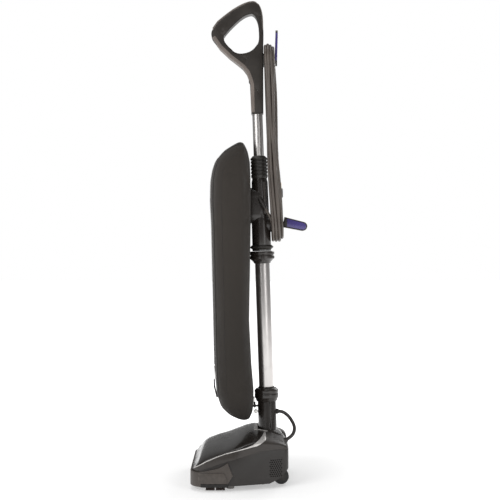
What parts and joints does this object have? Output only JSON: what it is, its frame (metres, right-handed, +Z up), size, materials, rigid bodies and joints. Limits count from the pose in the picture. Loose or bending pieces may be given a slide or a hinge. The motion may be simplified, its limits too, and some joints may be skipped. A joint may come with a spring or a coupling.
{
  "type": "upright vacuum cleaner",
  "caption": "Lightweight upright vacuum with a low powered head, reclining tube handle, D-shaped grip, soft front bag and a cord wound on two swivelling hooks.",
  "frame": {"origin": "on the floor below the middle of the machine, half way between the front of the bumper and the tip of the lower cord hook", "axes": "+Z up, -Y to the front, +X to the left of a person who pushes it"},
  "size_m": [0.29, 0.268, 1.1159],
  "materials": {
    "black_plastic": "matte",
    "gloss_black": "gloss",
    "silver_trim": "satin",
    "bumper_grey": "matte",
    "plated_steel": "satin",
    "alloy_tube": "satin",
    "bristle": "matte",
    "belt_rubber": "matte",
    "grey_plastic": "matte",
    "bush_plastic": "matte",
    "wheel_rubber": "matte",
    "soft_touch": "matte",
    "violet_plastic": "gloss",
    "bag_cloth": "matte",
    "paper": "matte",
    "cord_jacket": "matte",
    "brass": "satin"
  },
  "bodies": {
    "head": {"base_tray": "black_plastic", "hood": "gloss_black", "trim_left": "silver_trim", "trim_right": "silver_trim", "bumper": "bumper_grey", "sole_plate": "plated_steel", "edge_brushes": "bristle", "brush_bearings": "grey_plastic", "drive_belt": "belt_rubber", "motor_can": "plated_steel", "motor_mounts": "black_plastic", "impeller_housing": "black_plastic", "grille_left": "black_plastic", "grille_right": "black_plastic", "wheel_axles": "plated_steel", "front_glides": "grey_plastic", "pivot_bushes": "bush_plastic", "base_screws": "plated_steel", "head_gland": "cord_jacket"},
    "brush": {"brush_roll": "grey_plastic", "brush_tufts": "bristle"},
    "rotor": {"motor_shaft": "plated_steel", "motor_pulley": "plated_steel", "impeller": "grey_plastic"},
    "wheel_l": {"wheel_left": "wheel_rubber"},
    "wheel_r": {"wheel_right": "wheel_rubber"},
    "rocker": {"switch_rocker": "black_plastic"},
    "hook_high": {"upper_hook": "violet_plastic", "upper_hook_tip": "black_plastic"},
    "hook_low": {"lower_hook": "violet_plastic", "lower_hook_rim": "black_plastic"},
    "zip_pull": {"zipper_pull": "plated_steel"},
    "handle": {"neck": "black_plastic", "neck_collar": "soft_touch", "neck_ring": "plated_steel", "lower_tube": "alloy_tube", "tube_clamp": "black_plastic", "seal_ring": "soft_touch", "mid_body": "black_plastic", "upper_collar": "black_plastic", "upper_tube": "alloy_tube", "grip_left": "gloss_black", "grip_right": "gloss_black", "soft_grip": "soft_touch", "grip_screws": "plated_steel", "upper_hook_post": "black_plastic", "lower_hook_post": "black_plastic", "inlet_elbow": "black_plastic", "bag_collar": "black_plastic", "bag_shell": "bag_cloth", "paper_bag": "paper", "zipper_slider": "plated_steel", "tether_clip": "plated_steel", "tether_hook": "black_plastic", "neck_gland": "cord_jacket", "motor_lead": "cord_jacket", "strain_relief": "cord_jacket", "cord_hank": "cord_jacket", "plug": "cord_jacket", "plug_blades": "brass"}
  },
  "joints": [
    {"name": "handle_recline", "type": "hinge", "parent": "head", "child": "handle", "pos_m": [0, 0.043, 0.072], "axis": [-1, 0, 0], "range_deg": [0, 80], "deforming": ["motor_lead"]},
    {"name": "brush_spin", "type": "hinge", "parent": "head", "child": "brush", "pos_m": [0, -0.0995, 0.026], "axis": [1, 0, 0], "continuous": true},
    {"name": "motor_spin", "type": "hinge", "parent": "head", "child": "rotor", "pos_m": [0, -0.037, 0.058], "axis": [1, 0, 0], "continuous": true},
    {"name": "wheel_left_spin", "type": "hinge", "parent": "head", "child": "wheel_l", "pos_m": [0.062, 0.0712, 0.0175], "axis": [1, 0, 0], "continuous": true},
    {"name": "wheel_right_spin", "type": "hinge", "parent": "head", "child": "wheel_r", "pos_m": [-0.062, 0.0712, 0.0175], "axis": [1, 0, 0], "continuous": true},
    {"name": "switch_rock", "type": "hinge", "parent": "handle", "child": "rocker", "pos_m": [0, 0.00519, 0.93122], "axis": [1, 0, 0], "range_deg": [0, 12]},
    {"name": "upper_hook_swivel", "type": "hinge", "parent": "handle", "child": "hook_high", "pos_m": [0, 0.05329, 0.97783], "axis": [0, 0.9995, 0.0328], "range_deg": [0, 180]},
    {"name": "lower_hook_swivel", "type": "hinge", "parent": "handle", "child": "hook_low", "pos_m": [0, 0.07582, 0.59636], "axis": [0, 0.9995, 0.0328], "range_deg": [0, 180]},
    {"name": "zipper_pull_swing", "type": "hinge", "parent": "handle", "child": "zip_pull", "pos_m": [0, -0.08321, 0.26096], "axis": [-1, 0, 0], "range_deg": [0, 120]}
  ],
  "couplings": [
    {"joint": "motor_spin", "follows": "brush_spin", "ratio": 2}
  ]
}
